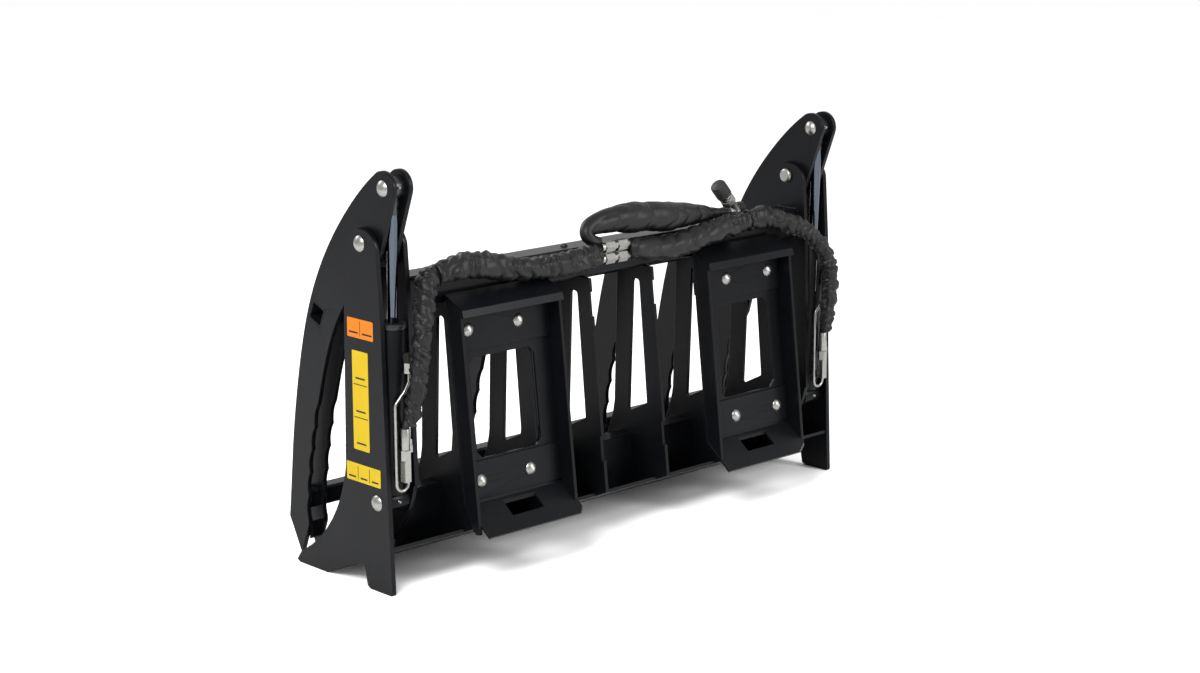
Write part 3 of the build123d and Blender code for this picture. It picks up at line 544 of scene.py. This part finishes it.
def label(name, x, y_low, y_high, z_low, z_high, film, bars, thick=0.35, corner=3.0):
    """Plain label with rounded corners on a face of constant X, with plain dividing bars."""
    outward = -1 if x < 0 else 1
    film_x = x + outward * thick
    border = []
    for cy, cz, start in ((y_high - corner, z_high - corner, 0), (y_low + corner, z_high - corner, 90),
                          (y_low + corner, z_low + corner, 180), (y_high - corner, z_low + corner, 270)):
        for step in range(5):
            a = math.radians(start + step * 22.5)
            border.append((cy + corner * math.cos(a), cz + corner * math.sin(a)))
    count = len(border)
    vertices = [at(film_x, y, z) for y, z in border] + [at(x, y, z) for y, z in border]
    faces = [tuple(range(count)), tuple(range(2 * count - 1, count - 1, -1))]
    faces += [(i, (i + 1) % count, count + (i + 1) % count, count + i) for i in range(count)]
    obj = mesh_object(name, vertices, faces, film, smooth=False)
    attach(obj, "frame")
    for number, (a, b, c, d) in enumerate(bars):
        bar_x = film_x + outward * 0.3
        corners = [(a, c), (b, c), (b, d), (a, d)]
        vertices = [at(bar_x, y, z) for y, z in corners] + [at(film_x, y, z) for y, z in corners]
        faces = [(0, 1, 2, 3), (7, 6, 5, 4), (0, 1, 5, 4), (1, 2, 6, 5), (2, 3, 7, 6), (3, 0, 4, 7)]
        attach(mesh_object(f"{name}_bar_{number}", vertices, faces, ink, smooth=False), "frame")


label("label_orange", PLATE_X, 51, 145, 592, 637, orange,
      [(98, 99.5, 597, 632), (56, 91, 602, 606), (106, 139, 602, 606)])
label("label_yellow_tall", PLATE_X, 72, 130, 328, 562, yellow,
      [(76, 126, 482, 484), (76, 126, 404, 406), (84, 118, 496, 500), (84, 118, 418, 422),
       (84, 118, 342, 346)])
label("label_yellow_wide", PLATE_X, 34, 159, 251, 294, yellow,
      [(74, 75.5, 256, 289), (116, 117.5, 256, 289), (42, 66, 259, 263), (83, 108, 259, 263),
       (125, 151, 259, 263)])

def barrel_label(sign, side, z_low, z_high, from_angle, to_angle):
    """Small plain label wrapped on a barrel; angles in degrees from the rear towards inboard."""
    vertices, faces = [], []
    steps = 10
    for height in (z_low, z_high):
        axis_y = BASE_PIN[0] - CYLINDER_LEAN * (height - BASE_PIN[1])
        for reach in (BARREL_R, BARREL_R + 0.5):
            for k in range(steps + 1):
                a = math.radians(from_angle + (to_angle - from_angle) * k / steps)
                x = sign * (CYLINDER_X - reach * math.sin(a))
                vertices.append(at(x, axis_y - reach * math.cos(a), height))
    row = steps + 1
    for k in range(steps):
        faces.append((row + k, row + k + 1, 3 * row + k + 1, 3 * row + k))
        faces.append((k + 1, k, 2 * row + k, 2 * row + k + 1))
        faces.append((k, k + 1, row + k + 1, row + k))
        faces.append((2 * row + k + 1, 2 * row + k, 3 * row + k, 3 * row + k + 1))
    for k in (0, steps):
        faces.append((k, row + k, 3 * row + k, 2 * row + k))
    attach(mesh_object(f"barrel_label_{side}", vertices, faces, white_film), f"barrel_{side}")


barrel_label(1, "right", 505, 590, 25, 62)


# ---- knot of cloth where the supply hoses leave their sleeve ----
def knot(name, place, reach, seed):
    vertices, faces = [], []
    rows, sides = 28, 40
    for i in range(rows + 1):
        polar = math.pi * i / rows
        for k in range(sides):
            turn = 2 * math.pi * k / sides
            d = Vector((math.sin(polar) * math.cos(turn), math.sin(polar) * math.sin(turn), math.cos(polar)))
            fine = 0.12 * noise.noise(d * 4 + Vector((0, seed, 0)))
            size = 0.72 + 0.42 * puff(d * 1.7 + Vector((seed, 0, 0))) + fine
            vertices.append(at(*place) + Vector([d[j] * reach[j] * size * MM for j in range(3)]))
    for i in range(rows):
        for k in range(sides):
            a, b = i * sides + k, i * sides + (k + 1) % sides
            faces.append((a, a + sides, b + sides, b))
    obj = mesh_object(name, vertices, faces, cloth)
    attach(obj, "frame")


knot("sleeve_knot_high", (402, 36, 728), (34, 22, 21), 3.7)
knot("sleeve_knot_low", (360, 28, 716), (26, 18, 24), 8.2)


# ---- weld beads ----
def bead(name, ends, body, radius=3.2):
    """Rippled weld beads between pairs of points in mm, joined in one piece."""
    vertices, faces = [], []
    sides = 8
    for start, stop in ends:
        start, stop = at(*start), at(*stop)
        along = stop - start
        turn = along.to_track_quat("Z", "Y")
        count = max(4, int(along.length / 0.0016))
        offset = len(vertices)
        for i in range(count + 1):
            share = i / count
            ripple = 0.82 + 0.18 * abs(math.sin(along.length * share / 0.0042 * math.pi))
            if i in (0, count):
                ripple *= 0.4
            size = radius * MM * ripple * (1 + 0.12 * noise.noise((start.x * 9, share * 20, start.y * 9)))
            for k in range(sides):
                a = 2 * math.pi * k / sides
                ring = Vector((math.cos(a) * size, math.sin(a) * size, 0))
                vertices.append(start + along * share + turn @ ring)
        for i in range(count):
            for k in range(sides):
                a, b = offset + i * sides + k, offset + i * sides + (k + 1) % sides
                faces.append((a, b, b + sides, a + sides))
    obj = mesh_object(name, vertices, faces, MATERIALS["black_paint"])
    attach(obj, body)


runs = []
for i in range(RIB_COUNT):
    x = (i - (RIB_COUNT - 1) / 2) * RIB_PITCH
    for edge in (x - HALF_RIB, x + HALF_RIB):
        runs.append(((edge, 58, 649), (edge, 122, 649)))
bead("weld_ribs_to_tube", runs, "frame")
runs = [((side * INNER_PLATE_X, y, z), (side * INNER_PLATE_X, y2, z2)) for side in (-1, 1)
        for y, z, y2, z2 in ((53, 652, 53, 724), (55, 726, 125, 726), (55, 650, 125, 650))]
bead("weld_tube_to_plates", runs, "frame")

# ---- studio ----
floor_mesh = bpy.data.meshes.new("studio_floor")
half = 60
corners = [(-half, -half, 0), (half, -half, 0), (half, half, 0), (-half, half, 0)]
floor_mesh.from_pydata(corners, [], [(0, 1, 2, 3)])
floor = bpy.data.objects.new("studio_floor", floor_mesh)
bpy.context.scene.collection.objects.link(floor)
floor_shader = Shader("pale_floor")
tone = floor_shader.noise(2)
floor_shader.link(floor_shader.ramp(tone, [(0.0, (0.955, 0.955, 0.955)), (1.0, (0.975, 0.975, 0.975))]),
                  floor_shader.bsdf.inputs["Base Color"])
floor_shader.set(Roughness=0.7, Specular_IOR_Level=0.2)
floor.data.materials.append(floor_shader.material)
floor.location.z = CAD_BOX[0][2]

world = bpy.data.worlds.new("studio")
bpy.context.scene.world = world
world.use_nodes = True
world.node_tree.nodes["Background"].inputs["Color"].default_value = (1, 1, 1, 1)
world.node_tree.nodes["Background"].inputs["Strength"].default_value = 1.02


def area_light(name, place, aim, size_x, size_y, power):
    data = bpy.data.lights.new(name, "AREA")
    data.shape = "RECTANGLE"
    data.size, data.size_y, data.energy = size_x, size_y, power
    light = bpy.data.objects.new(name, data)
    bpy.context.scene.collection.objects.link(light)
    light.location = place
    light.rotation_euler = (Vector(aim) - Vector(place)).to_track_quat("-Z", "Y").to_euler()
    return light


area_light("key", (-3.2, -1.6, 3.4), (0, 0, 0.4), 1.8, 1.8, 220)
area_light("fill", (1.8, -4.2, 2.4), (0, 0, 0.4), 1.2, 2.2, 170)
area_light("back", (-1.0, 4.0, 3.2), (0, 0, 0.5), 3.0, 1.6, 120)

scene = bpy.context.scene
scene.view_settings.view_transform = "Standard"
scene.view_settings.look = "None"
